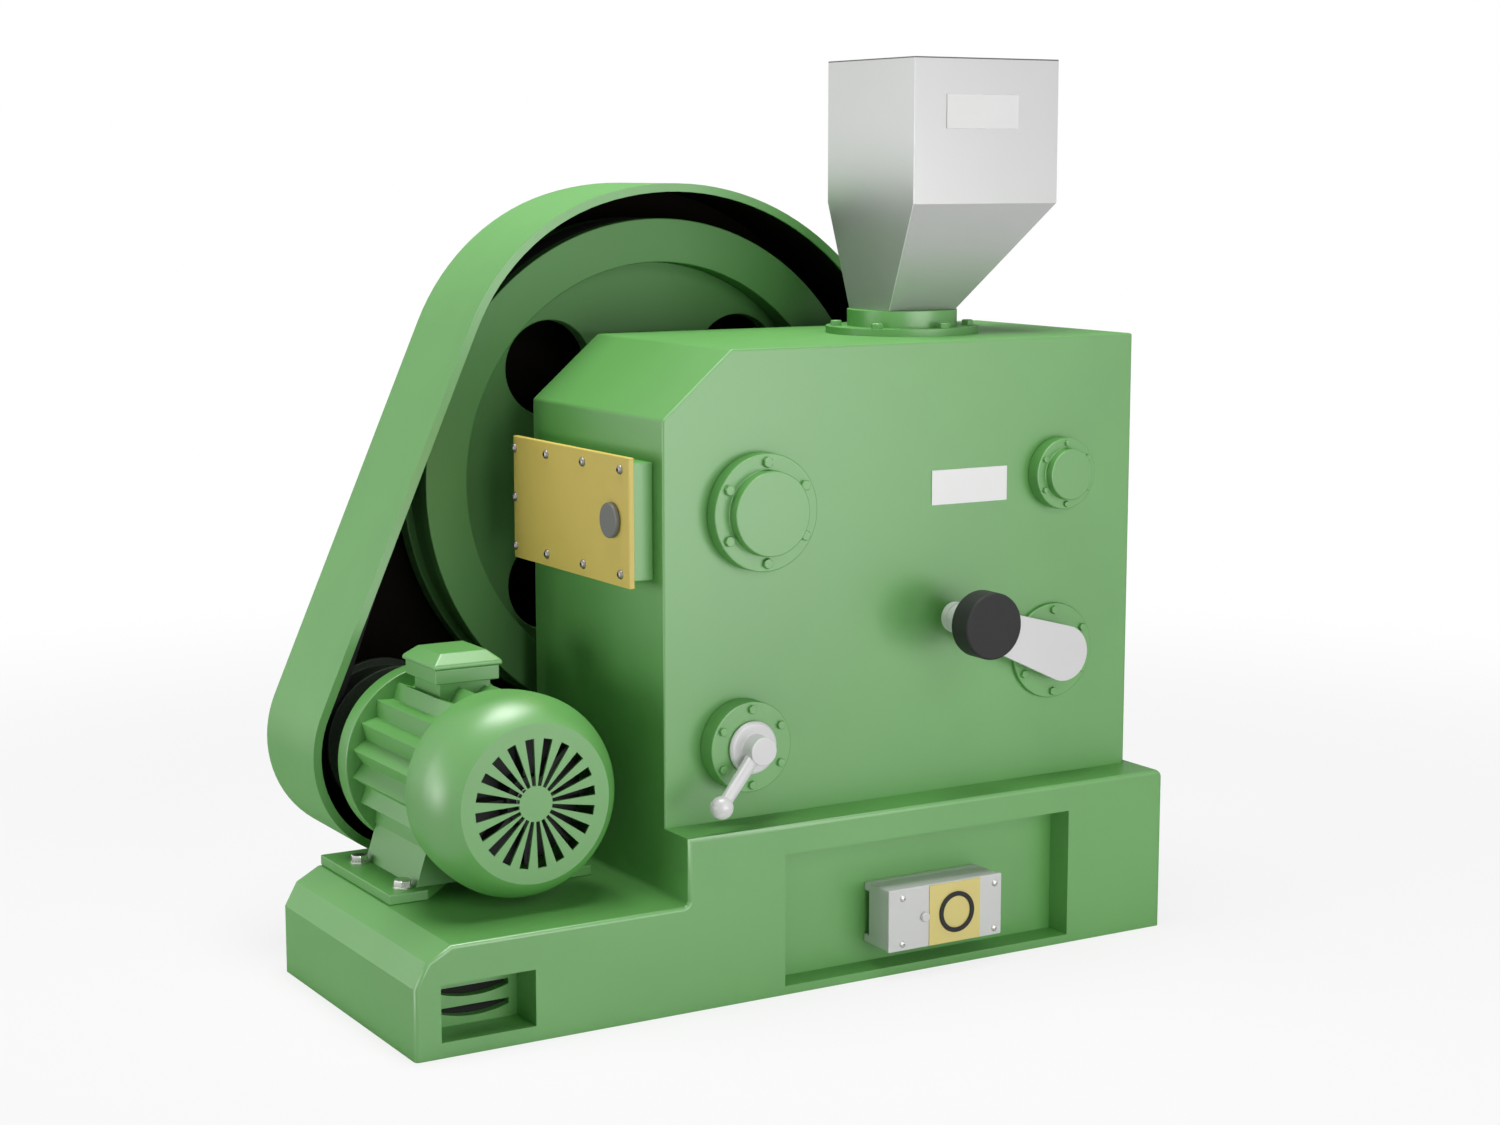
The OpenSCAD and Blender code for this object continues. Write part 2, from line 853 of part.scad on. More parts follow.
module swing_jaw() {
    dz = jaw_top - jaw_low;
    end_l = chamber_l + swing_in * (dz - jaw_lift) / dz;
    end_r = chamber_l + swing_in + jaw_t * jaw_low_share;
    color("#8d8f90")
        upright(fy + jaw_w / 2, jaw_w)
            polygon([[chamber_l, jaw_top], [chamber_l + jaw_t, jaw_top],
                [end_r, jaw_low + jaw_lift], [end_l, jaw_low + jaw_lift]]);
}

module rear_bearing() {
    color("#5fa15c")
        difference() {
            union() {
                disc(wx, yb + bearing_t, wheel_z, bearing_r, bearing_t);
                disc(wx, wy - nose_gap, wheel_z, nose_r, wheel_gap - nose_gap);
            }
            disc(wx, wy, wheel_z, shaft_r + run, wheel_gap + 1);
        }
}

module guard_band() {
    color("#5fa15c")
        difference() {
            guard_solid(yb + guard_deep - guard_sheet, guard_deep - 2 * guard_sheet, 0);
            guard_solid(yb + guard_deep, guard_deep + 2, -guard_sheet);
        }
}

module guard_lip() {
    color("#5fa15c")
        difference() {
            guard_solid(yb + guard_sheet, guard_sheet, 0);
            guard_solid(yb + guard_sheet + 1, guard_sheet + 2, -guard_lip);
        }
}

module guard_back() {
    color("#4d7d49")
        guard_solid(yb + guard_deep, guard_sheet, 0);
}

module drive_belt() {
    color("#1d1c1b")
        difference() {
            loop(belt_y + belt_w, belt_w, [wx, wheel_z], belt_r, [mx, mz], pulley_r);
            loop(belt_y + belt_w + 1, belt_w + 2,
                [wx, wheel_z], belt_r - belt_t, [mx, mz], pulley_r - belt_t);
        }
}

module flywheel_rim() {
    color("#4d7d49")
        difference() {
            disc(wx, wy + wheel_w, wheel_z, wheel_r, wheel_w);
            disc(wx, wy + wheel_w + 1, wheel_z, wheel_rim_r, wheel_w + 2);
            difference() {
                disc(wx, belt_y + belt_w + slip, wheel_z, wheel_r + 1, belt_w + 2 * slip);
                disc(wx, belt_y + belt_w + 2, wheel_z, groove_r, belt_w + 4);
            }
        }
}

module flywheel_web() {
    color("#4d7d49")
        difference() {
            disc(wx, web_y + web_t, wheel_z, wheel_rim_r, web_t);
            disc(wx, web_y + web_t + 1, wheel_z, hub_r, web_t + 2);
            for (i = [0 : 3])
                disc(wx + hole_pitch * cos(45 + 90 * i), web_y + web_t + 1,
                    wheel_z + hole_pitch * sin(45 + 90 * i), hole_r, web_t + 2);
        }
}

module flywheel_hub() {
    color("#4d7d49")
        difference() {
            disc(wx, wy + wheel_w, wheel_z, hub_r, wheel_w);
            disc(wx, wy + wheel_w + 1, wheel_z, shaft_r, wheel_w + 2);
        }
}

module drive_shaft() {
    color("#9b9da0")
        disc(wx, wy + wheel_w + shaft_out, wheel_z, shaft_r, wy + wheel_w + shaft_out - hf - shaft_in);
}

module motor_plate() {
    yf = y0 + plate_front;
    yc = yf + plate_cut;
    color("#5fa15c")
        translate([0, 0, low_deck])
            linear_extrude(plate_t)
                polygon([[mx - plate_half, yf], [mx - plate_half + plate_tab, yf],
                    [mx - plate_mid, yc], [mx + plate_mid, yc],
                    [mx + plate_half - plate_tab, yf], [mx + plate_half, yf],
                    [mx + plate_half, yb - plate_back],
                    [mx - plate_half, yb - plate_back]]);
}

module motor_body() {
    y1 = y0 + cowl_front + cowl_len - body_in;
    wz = mz - fin_root_r / 2;
    pz = low_deck + plate_t;
    color("#5fa15c")
        difference() {
            union() {
                upright(fin_end, fin_end - y1)
                    translate([mx, mz])
                        rotate(fin_turn)
                            polygon([for (i = [0 : 2 * fins - 1])
                                pt([0, 0], i % 2 == 1 ? fin_r : fin_root_r, 180 * i / fins)]);
                intersection() {
                    translate([mx, y0 + cowl_front, mz])
                        cowl_shape(cowl_sheet);
                    disc(mx, y1 + cowl_seat, mz, cowl_r, cowl_seat);
                }
                upright(fin_end, web_len)
                    polygon([[mx - web_low, pz], [mx + web_low, pz],
                        [mx + web_high, wz], [mx - web_high, wz]]);
                box([term_x - term_w / 2 + neck_in, term_y + neck_in, mz],
                    [term_w - 2 * neck_in, term_d - 2 * neck_in, fin_r + term_up]);
            }
            disc(mx, y0 + motor_back, mz, motor_shaft_r + rotor_room, motor_back);
        }
}

module motor_flange() {
    color("#5fa15c")
        difference() {
            disc(mx, y0 + motor_back, mz, fin_r + drive_lap, drive_t);
            disc(mx, y0 + motor_back + 1, mz, motor_shaft_r + run, drive_t + 2);
        }
}

// Solid of the cowl, inset by i: a flat face, an arc out to the belly and a flatter arc to the back edge
module cowl_shape(i) {
    rotate([-90, 0, 0])
        rotate_extrude()
            union() {
                translate([0, i])
                    square([cowl_r - face_arc, cowl_len]);
                intersection() {
                    translate([cowl_r - face_arc, cowl_belly])
                        circle(r = face_arc - i);
                    translate([cowl_r - face_arc - 1, i])
                        square([face_arc + 2, cowl_belly - i + 1]);
                }
                intersection() {
                    translate([cowl_r - back_arc, cowl_belly])
                        circle(r = back_arc - i, $fn = 720);
                    translate([0, cowl_belly])
                        square([cowl_r, back_len + i]);
                }
            }
}

module fan_cowl() {
    yc = y0 + cowl_front;
    color("#5fa15c")
        difference() {
            translate([mx, yc, mz])
                difference() {
                    cowl_shape(0);
                    cowl_shape(cowl_sheet);
                }
            upright(yc + cowl_sheet + 1, cowl_sheet + 2)
                translate([mx, mz])
                    for (i = [0 : slots - 1])
                        rotate(i * 360 / slots + slot_turn)
                            polygon([[slot_in, -slot_in_w / 2], [slot_out, -slot_out_w / 2],
                                [slot_out, slot_out_w / 2], [slot_in, slot_in_w / 2]]);
        }
}

module terminal_box() {
    color("#5fa15c")
        box([term_x - term_w / 2, term_y, term_z], [term_w, term_d, term_h]);
}

module terminal_lid() {
    color("#5fa15c")
        intersection() {
            upright(term_y + term_d + lid_lap, term_d + 2 * lid_lap)
                translate([term_x, lid_z])
                    lid_section(term_w / 2 + lid_lap);
            translate([term_x - term_w, term_y + term_d / 2, lid_z])
                rotate([90, 0, 90])
                    linear_extrude(2 * term_w)
                        lid_section(term_d / 2 + lid_lap);
        }
}

// Section of the lid across half length h: a rim, a bevel and a flat top
module lid_section(h) {
    top = lid_rim + lid_bevel;
    polygon([[-h, 0], [h, 0], [h, lid_rim], [h - lid_in, top], [lid_in - h, top], [-h, lid_rim]]);
}

module motor_shaft() {
    color("#9b9da0")
        disc(mx, pulley_y + shaft_end, mz, motor_shaft_r, pulley_y + shaft_end - y0 - cowl_front - fan_in);
}

module motor_pulley() {
    color("#3c4a3b")
        difference() {
            disc(mx, pulley_y, mz, pulley_r, pulley_w);
            difference() {
                disc(mx, belt_y + belt_w + slip, mz, pulley_r + 1, belt_w + 2 * slip);
                disc(mx, belt_y + belt_w + 2, mz, pull_groove_r, belt_w + 4);
            }
            disc(mx, pulley_y + 1, mz, motor_shaft_r, pulley_w + 2);
        }
}

module motor_fan() {
    yf = y0 + cowl_front + fan_in;
    yd = yf + fan_len;
    color("#2a2b2c")
        difference() {
            union() {
                disc(mx, yd, mz, fan_r, fan_t);
                disc(mx, yd, mz, fan_hub_r, fan_len);
                for (i = [0 : fan_blades - 1])
                    translate([mx, yd - fan_t / 2, mz])
                        rotate([0, i * 360 / fan_blades, 0])
                            translate([fan_hub_r - fan_root, -fan_blade, -fan_blade_t / 2])
                                cube([fan_r - fan_hub_r + 1, fan_blade, fan_blade_t]);
            }
            disc(mx, yd + 1, mz, motor_shaft_r, fan_len + 2);
        }
}

module crank_arm() {
    p = pt([kx, crank_z], crank_len, crank_dir);
    color("#cfd1d0")
        difference() {
            union() {
                loop(ka, crank_arm_t, [kx, crank_z], crank_hub_r, p, crank_end_r);
                disc(p[0], ka - 1, p[1], crank_end_r - end_boss_in, ka - 1 - ks);
            }
            disc(kx, ka + 1, crank_z, spindle_r, 1 + crank_arm_t - arm_skin);
        }
}

module crank_spindle() {
    color("#a9abac")
        disc(kx, hf + spindle_in - 1, crank_z, spindle_r, hf + spindle_in - 1 - ka + crank_arm_t - arm_skin);
}

module crank_knob() {
    p = pt([kx, crank_z], crank_len, crank_dir);
    color("#2b2b2d") {
        disc(p[0], ks, p[1], stem_r, stem_len + 1);
        disc(p[0], ks - stem_len, p[1], knob_r, knob_t);
    }
}

module lever_hub() {
    color("#bfc1c1")
        union() {
            disc(vx, hf - end_room, lever_z, pivot_r, lever_flange_t);
            disc(vx, vh + lever_hub_t, lever_z, lever_hub_r, lever_hub_t / 2);
            translate([vx, vh + lever_hub_t / 2, lever_z])
                rotate([90, 0, 0])
                    cylinder(r1 = lever_hub_r, r2 = lever_hub_r - lever_hub_t / 2, h = lever_hub_t / 2);
            disc(vx, vh + 1, lever_z, post_r, post_len + 1);
        }
}

module lever_rod() {
    color("#c4c6c6")
        difference() {
            translate([vx, rod_y, lever_z])
                rotate([0, -lever_dir, 0])
                    rotate([0, 0, -rod_tilt])
                        rotate([0, 90, 0])
                            cylinder(r1 = rod_r, r2 = rod_end_r, h = rod_len);
            disc(vx, hf, lever_z, post_r, 2 * (hf - vp));
            translate(ball_at)
                sphere(r = ball_r);
        }
}

module lever_ball() {
    color("#c4c6c6")
        translate(ball_at)
            sphere(r = ball_r);
}

base();
housing();
feed_flange();
hopper();
hopper_label();
name_plate();
large_cover();
small_cover();
crank_flange();
lever_flange();
side_block();
side_cover();
side_plug();
control_rails();
control_box();
control_cover();
control_panel();
control_ring();
control_knob();
fixed_jaw();
swing_jaw();
rear_bearing();
guard_band();
guard_lip();
guard_back();
drive_belt();
flywheel_rim();
flywheel_web();
flywheel_hub();
drive_shaft();
motor_plate();
motor_body();
motor_flange();
fan_cowl();
terminal_box();
terminal_lid();
motor_shaft();
motor_pulley();
motor_fan();
crank_arm();
crank_spindle();
crank_knob();
lever_hub();
lever_rod();
lever_ball();
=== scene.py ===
# %% [markdown]
# # A laboratory jaw crusher, dressed
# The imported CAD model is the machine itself: base, housing, guard, motor, hopper and handles.
# This lesson gives it what a workshop gives the real one: soft edges, paint, metal, bolts and light.
# All of it is in metres in the CAD frame, with the floor at zero height and the controls towards -Y.

import json

import bmesh
import bpy
import numpy as np
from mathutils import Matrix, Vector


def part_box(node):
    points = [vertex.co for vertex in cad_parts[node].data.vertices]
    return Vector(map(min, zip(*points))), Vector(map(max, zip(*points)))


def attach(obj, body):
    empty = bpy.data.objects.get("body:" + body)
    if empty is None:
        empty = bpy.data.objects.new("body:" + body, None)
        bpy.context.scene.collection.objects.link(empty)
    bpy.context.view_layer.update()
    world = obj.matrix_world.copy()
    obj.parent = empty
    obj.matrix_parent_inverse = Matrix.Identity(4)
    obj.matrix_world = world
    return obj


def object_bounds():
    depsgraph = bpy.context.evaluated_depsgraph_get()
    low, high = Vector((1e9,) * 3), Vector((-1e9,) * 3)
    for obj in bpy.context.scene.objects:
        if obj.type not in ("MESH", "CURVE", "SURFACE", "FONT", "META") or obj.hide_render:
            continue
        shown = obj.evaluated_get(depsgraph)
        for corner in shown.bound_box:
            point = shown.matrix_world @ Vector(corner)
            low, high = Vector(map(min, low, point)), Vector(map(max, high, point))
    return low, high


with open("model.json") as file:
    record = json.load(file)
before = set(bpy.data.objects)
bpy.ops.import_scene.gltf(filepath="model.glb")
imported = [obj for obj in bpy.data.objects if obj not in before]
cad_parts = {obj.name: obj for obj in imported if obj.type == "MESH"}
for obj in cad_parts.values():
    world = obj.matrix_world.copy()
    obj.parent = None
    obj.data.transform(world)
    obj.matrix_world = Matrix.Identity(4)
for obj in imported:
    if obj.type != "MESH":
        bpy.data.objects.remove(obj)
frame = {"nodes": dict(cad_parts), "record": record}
cad_low, cad_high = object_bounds()
nodes = frame["nodes"]
scene = bpy.context.scene
print("nodes", len(nodes), "box", [round(x, 3) for x in (*cad_low, *cad_high)])

# %% [markdown]
# ## The camera
# The photograph was taken from the left front, a little above the hopper flange.
# A camera can be placed by eye, but its lens then never quite agrees with the picture.
# Here the lens and the place come from a fit to the machine's straight edges, so they are plain numbers.

# %% Camera
PICTURE_WIDTH = 1500
FOCAL_PIXELS = 2629.105
SENSOR = 36.0
CAMERA_AT = (-1.556592, -2.646829, 0.930001)
CAMERA_TURN = (90 - 8.526969, 0.0, -30.797494)

camera = bpy.data.objects.new("camera", bpy.data.cameras.new("camera"))
scene.collection.objects.link(camera)
camera.data.sensor_width = SENSOR
camera.data.lens = FOCAL_PIXELS / PICTURE_WIDTH * SENSOR
camera.location = CAMERA_AT
camera.rotation_euler = np.radians(CAMERA_TURN)
scene.camera = camera
print("lens", round(camera.data.lens, 2), "mm")

# %% [markdown]
# ## Sums in a shader
# A shader is a graph of nodes, and a mask such as 1 - dust * 0.3 takes three of them.
# One small class wraps a socket, so that the sum can be written as it is read.
# Numbers go through Math nodes; colours go through a Mix node, because Math would turn them grey.


# %% Wires
class Wire:
    """An output socket of a node tree. Arithmetic on it adds Math nodes to the tree."""

    def __init__(self, tree, socket=None):
        self.tree, self.socket = tree, socket

    def node(self, kind, settings=None, sockets=None, out=0):
        """Adds a node: its settings first, then its sockets by name or number; returns one output."""
        made = self.tree.nodes.new(kind)
        for key, value in (settings or {}).items():
            setattr(made, key, value)
        for key, value in (sockets or {}).items():
            self.feed(made.inputs[key], value)
        return Wire(self.tree, made.outputs[out])

    def feed(self, target, value):
        """Links a wire to a socket, or sets the socket to a plain value."""
        if isinstance(value, Wire):
            self.tree.links.new(value.socket, target)
        else:
            target.default_value = value

    def math(self, operation, first, second=0.0):
        return self.node("ShaderNodeMath", {"operation": operation}, {0: first, 1: second})

    def __add__(self, other):
        return self.math("ADD", self, other)

    __radd__ = __add__

    def __mul__(self, other):
        return self.math("MULTIPLY", self, other)

    __rmul__ = __mul__

    def __sub__(self, other):
        return self.math("SUBTRACT", self, other)

    def __rsub__(self, other):
        return self.math("SUBTRACT", other, self)

    def above(self, edge, soft):
        """0 below edge, 1 above it, with a smooth step that is soft wide."""
        ends = {"From Min": edge - soft / 2, "From Max": edge + soft / 2}
        return self.node("ShaderNodeMapRange", {"interpolation_type": "SMOOTHSTEP"}, {"Value": self, **ends})

    def tint(self, low, high):
        """The colour low where this mask is 0, high where it is 1."""
        low, high = (c if isinstance(c, Wire) else (*c, 1.0) for c in (low, high))
        return self.node("ShaderNodeMix", {"data_type": "RGBA"}, {0: self, 6: low, 7: high}, 2)

    def noise(self, place, scale, detail=2.0, rough=0.5):
        """Cloud noise about 0.5, with scale clouds to the metre."""
        sockets = {"Vector": place, "Scale": scale, "Detail": detail, "Roughness": rough}
        return self.node("ShaderNodeTexNoise", None, sockets)

    def stretch(self, place, scale):
        """The place with each axis multiplied, which draws a pattern out along the smallest."""
        return self.node("ShaderNodeMapping", None, {"Vector": place, "Scale": scale})


def new_finish(name):
    """An empty material: its tree as a wire, the object's own coordinates, and the shader to feed."""
    material = bpy.data.materials.new(name)
    material.use_nodes = True
    tree = Wire(material.node_tree)
    place = tree.node("ShaderNodeTexCoord", out="Object")
    return material, tree, place, material.node_tree.nodes["Principled BSDF"]


def shades(colour, spread):
    """A darker and a lighter neighbour of a colour, spread apart as a share of it."""
    colour = np.array(colour)
    return tuple(colour * (1 - spread)), tuple(np.minimum(colour * (1 + spread), 1.0))


# %% [markdown]
# ## Paint
# The machine is sprayed with one satin green, and the sprayed film isn't perfectly even:
# it clouds a little from panel to panel, and its skin has the fine dimples called orange peel.
# A single colour would look like a toy, so slow clouds move the colour and the gloss,
# and a fast noise makes the dimples as a bump, a tenth of a millimetre at most.
# Satin paint has flat flakes in it. They mirror a small share of the light at every angle,
# where a clear gloss would mirror most of it at the edges, so a second, metallic shader is mixed in.
# The guard is green outside, and its inside is painted near-black as painted shade: a mask of the surface's
# normal says where.


# %% Painted finishes
# Painted shade: the near-black that the guard's inside gets in place of the shade there.
GUARD_SHADE = (0.012, 0.010, 0.008)
FLAKE = (1.0, 1.0, 1.0, 1.0)
CLOUDS_A_METRE, DIMPLES_A_METRE = 3.0, 380.0
CLOUD_GLOSS, DIMPLE_GLOSS = 0.14, 0.05
DIMPLE_DEEP = 0.0002


def painted(name, colour, rough, satin, cloud=0.05, peel=0.12, shaded_inside=None):
    """Sprayed paint: colour and gloss follow slow clouds, the dimples a fast noise.
    Satin is the share of the flakes, and shaded_inside masks where a near-black painted shade stands in for
    the shade inside the guard."""
    material, tree, place, shader = new_finish(name)
    clouds = tree.noise(place, CLOUDS_A_METRE, 4.0, 0.6)
    dimples = tree.noise(place, DIMPLES_A_METRE, 1.0)
    film = clouds.above(0.5, 0.5).tint(*shades(colour, cloud))
    gloss = rough + (clouds - 0.5) * CLOUD_GLOSS + (dimples - 0.5) * DIMPLE_GLOSS
    if shaded_inside:
        inside = shaded_inside(tree, place)
        # Painted shade: inside the guard the colour turns near-black and the flakes go, standing in for the
        # shade there.
        film, satin = inside.tint(film, GUARD_SHADE), satin - inside * satin
    bump = tree.node("ShaderNodeBump", None, {"Strength": peel, "Distance": DIMPLE_DEEP, "Height": dimples})
    tree.feed(shader.inputs["Base Color"], film)
    shader.inputs["Specular IOR Level"].default_value = 0.0
    flakes = tree.node("ShaderNodeBsdfPrincipled", None, {"Base Color": FLAKE, "Metallic": 1.0})
    for layer in (shader, flakes.socket.node):
        tree.feed(layer.inputs["Roughness"], gloss)
        tree.feed(layer.inputs["Normal"], bump)
    paint = Wire(tree.tree, shader.outputs[0])
    mixed = tree.node("ShaderNodeMixShader", None, {0: satin, 1: paint, 2: flakes})
    tree.feed(material.node_tree.nodes["Material Output"].inputs["Surface"], mixed)
    return material


def towards_front(tree, place):
    """1 on the guard sheet's inner face: where the normal points to -Y, whatever the place."""
    normal = tree.node("ShaderNodeTexCoord", out="Normal")
    return (tree.node("ShaderNodeSeparateXYZ", None, {0: normal}, 1) * -1.0).above(0.5, 0.4)


def towards_axle(tree, place):
    """1 on the guard band's inner face: where the normal points back to the flywheel's axle.
    That is where minus (place - axle) . normal, with Y left out, is over 3 cm."""
    low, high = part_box("flywheel_rim")
    axle = ((low.x + high.x) / 2, 0.0, (low.z + high.z) / 2)
    way = tree.node("ShaderNodeVectorMath", {"operation": "SUBTRACT"}, {0: place, 1: axle})
    flat = tree.node("ShaderNodeVectorMath", {"operation": "MULTIPLY"}, {0: way, 1: (1.0, 0.0, 1.0)})
    normal = tree.node("ShaderNodeTexCoord", out="Normal")
    back = tree.node("ShaderNodeVectorMath", {"operation": "DOT_PRODUCT"}, {0: flat, 1: normal}, "Value")
    return (back * -1.0).above(0.03, 0.02)


GREEN = ((0.127, 0.376, 0.091), 0.38, 0.095)
finishes = {
    "green_paint": painted("green_paint", *GREEN),
    # Painted shade: guard_paint and band_paint turn near-black on the guard's inside.
    "guard_paint": painted("guard_paint", *GREEN, shaded_inside=towards_front),
    "band_paint": painted("band_paint", *GREEN, shaded_inside=towards_axle),
    "wheel_paint": painted("wheel_paint", (0.105, 0.28, 0.08), 0.45, 0.035),
    "plate_white": painted("plate_white", (0.86, 0.865, 0.855), 0.38, 0.12, 0.015, 0.04),
    "grey_plug": painted("grey_plug", (0.145, 0.15, 0.14), 0.4, 0.06, 0.06),
    "box_grey": painted("box_grey", (0.66, 0.66, 0.66), 0.38, 0.08, 0.03, 0.08),
    "yellow_panel": painted("yellow_panel", (0.72, 0.60, 0.19), 0.42, 0.08, 0.04, 0.05),
    "yellow_plate": painted("yellow_plate", (0.70, 0.55, 0.13), 0.36, 0.04, 0.05, 0.08),
    "handle_steel": painted("handle_steel", (0.72, 0.72, 0.72), 0.34, 0.10, 0.03, 0.05),
}
print("painted", sorted(finishes))

# %% [markdown]
# ## Metals
# The hopper is stainless sheet with a brushed face: fine upright scratches scatter the light sideways.
# Noise that is drawn out along Z gives the scratches, as colour, gloss and a very small bump.
# Along its top edge a thin dark line is painted in: a painted reflection of dark surroundings in the rounded
# rim.
# Shafts and screws are turned or rolled, so their scratches go round or along; the jaws are rough castings.


# %% Metal finishes
# Painted reflection: the dark band along the hopper's top edge stands in for the rim mirroring dark
# surroundings.
RIM_DARK_REFLECTION = (0.11, 0.11, 0.11)
RIM_DARK_SOFT = 0.0008
SCRATCH_TINT, SCRATCH_GLOSS, SCRATCH_BUMP = 0.10, 0.20, 0.12
SCRATCH_DEEP = 0.0001
STAINS_A_METRE, STAIN_GLOSS = 9.0, 0.10
GRAIN_TINT, GRAIN_GLOSS, GRAIN_BUMP = 0.22, 0.24, 0.35


def brushed(name, colour, rough, grain, metal=1.0, mark=1.0, rim=None):
    """Metal with scratches: a noise that is drawn out along the axis where grain is smallest.
    Over the height rim the colour is darker: a painted dark reflection along the top edge."""
    material, tree, place, shader = new_finish(name)
    scratches = tree.noise(tree.stretch(place, grain), 1.0, 3.0, 0.65)
    stains = tree.noise(place, STAINS_A_METRE, 3.0)
    film = scratches.tint(*shades(colour, mark * SCRATCH_TINT))
    if rim:
        # Painted reflection: a dark band over the top of the sheet.
        height = tree.node("ShaderNodeSeparateXYZ", None, {0: place}, 2)
        film = height.above(rim, RIM_DARK_SOFT).tint(film, RIM_DARK_REFLECTION)
    tree.feed(shader.inputs["Base Color"], film)
    gloss = rough + (scratches - 0.5) * (mark * SCRATCH_GLOSS) + (stains - 0.5) * STAIN_GLOSS
    tree.feed(shader.inputs["Roughness"], gloss)
    groove = {"Strength": mark * SCRATCH_BUMP, "Distance": SCRATCH_DEEP, "Height": scratches}
    bump = tree.node("ShaderNodeBump", None, groove)
    tree.feed(shader.inputs["Normal"], bump)
    shader.inputs["Metallic"].default_value = metal
    return material


def grained(name, colour, rough, scale, deep, metal=0.0, specular=0.5):
    """Cast iron, moulded plastic or rubber: grains of one size, seen in colour, gloss and bump."""
    material, tree, place, shader = new_finish(name)
    grains = tree.noise(place, scale, 5.0, 0.62)
    tree.feed(shader.inputs["Base Color"], grains.above(0.5, 0.5).tint(*shades(colour, GRAIN_TINT)))
    tree.feed(shader.inputs["Roughness"], rough + (grains - 0.5) * GRAIN_GLOSS)
    bump = tree.node("ShaderNodeBump", None, {"Strength": GRAIN_BUMP, "Distance": deep, "Height": grains})
    tree.feed(shader.inputs["Normal"], bump)
    shader.inputs["Metallic"].default_value = metal
    shader.inputs["Specular IOR Level"].default_value = specular
    return material


RIM_HIGH = 0.0016
UPRIGHT, TURNED, EVEN = (420.0, 420.0, 5.0), (60.0, 900.0, 60.0), (700.0, 700.0, 700.0)
hopper_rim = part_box("hopper")[1].z - RIM_HIGH
finishes.update(
    hopper_steel=brushed("hopper_steel", (0.55, 0.555, 0.55), 0.37, UPRIGHT, 0.72, 0.12, hopper_rim),
    shaft_steel=brushed("shaft_steel", (0.55, 0.56, 0.57), 0.32, TURNED),
    bolt_steel=brushed("bolt_steel", (0.62, 0.61, 0.59), 0.30, EVEN),
    screw_steel=brushed("screw_steel", (0.27, 0.26, 0.24), 0.38, EVEN),
    jaw_iron=grained("jaw_iron", (0.16, 0.16, 0.16), 0.55, 180.0, 0.0006, 0.7),
    pulley_iron=grained("pulley_iron", (0.05, 0.07, 0.05), 0.55, 260.0, 0.0003, 0.3),
    black_plastic=grained("black_plastic", (0.022, 0.022, 0.023), 0.55, 900.0, 0.0001, 0.0, 0.28),
    fan_plastic=grained("fan_plastic", (0.02, 0.02, 0.02), 0.55, 700.0, 0.0001),
    belt_rubber=grained("belt_rubber", (0.016, 0.016, 0.016), 0.75, 600.0, 0.0002),
    # Painted shade: vent_black is the near-black of the sheets behind the louvres, standing in for the shade
    # inside the base.
    vent_black=grained("vent_black", (0.006, 0.007, 0.006), 0.85, 300.0, 0.0002),
)
print("finishes", len(finishes))

# %% Dress the CAD nodes
for row in frame["record"]["subparts"]:
    dressed = nodes[row["node"]].data.materials
    dressed.clear()
    dressed.append(finishes["band_paint" if row["node"] == "guard_band" else row["material_slot"]])

# %% [markdown]
# ## Soft edges
# CAD edges are perfectly sharp, and a sharp edge never catches light. Sheet metal and castings do.
# A bevel needs a joined mesh, so a small node group first welds the loose triangles
# and marks the edges that turn by more than 25 degrees, or 8 on the hopper, whose folds are flatter.
# A Bevel modifier then rounds the marked edges. The CAD mesh stays as it is: all of this is in modifiers.
# A bevel is never wider than the shortest edge allows, and slots and bores have very short ones.
# So on the base and the housing it goes by weights, and the edges inside some named boxes weigh nothing.
# The crank arm, the fan cowl and the feed flange are only welded, because their edges lie too close together.

# %% Soften
SHARP, FOLD, COPLANAR = np.radians((25.0, 8.0, 0.5))
WELD = 2e-5


def in_box(place, low, high):
    """1 where a place lies in the box between two corners, 0 elsewhere."""
    past, short = (
        place.node("FunctionNodeCompare", {"data_type": "VECTOR", "operation": side}, {4: place, 5: corner})
        for side, corner in (("GREATER_EQUAL", low), ("LESS_EQUAL", high))
    )
    return past * short


def weld_group(limit, still=()):
    """Node group: weld, drop the imported normals, and call an edge sharp where its faces turn by the limit.
    With still boxes a sharp edge also weighs 1 for the bevel, or 0 where its middle lies in one of them."""
    group = bpy.data.node_groups.new("weld_and_mark", "GeometryNodeTree")
    for way in ("INPUT", "OUTPUT"):
        group.interface.new_socket("Mesh", in_out=way, socket_type="NodeSocketGeometry")
    tree = Wire(group)
    angle = tree.node("GeometryNodeInputMeshEdgeAngle")
    sharp = tree.node("FunctionNodeCompare", {"operation": "GREATER_THAN"}, {0: angle, 1: limit})
    whole = tree.node("GeometryNodeMergeByDistance", None, {0: tree.node("NodeGroupInput"), "Distance": WELD})
    marks = {"Mesh": whole, "Remove Custom": True, "Edge Sharpness": sharp, "Face Sharpness": False}
    marked = tree.node("GeometryNodeSetMeshNormal", {"mode": "SHARPNESS"}, marks)
    if still:
        place, weight = tree.node("GeometryNodeInputPosition"), sharp
        for low, high in still:
            weight = weight - weight * in_box(place, low, high)
        weights = {"Geometry": marked, "Name": "bevel_weight_edge", "Value": weight}
        on_edges = {"data_type": "FLOAT", "domain": "EDGE"}
        marked = tree.node("GeometryNodeStoreNamedAttribute", on_edges, weights)
    tree.feed(group.nodes.new("NodeGroupOutput").inputs[0], marked)
    return group


welded = {limit: weld_group(limit) for limit in (SHARP, FOLD)}


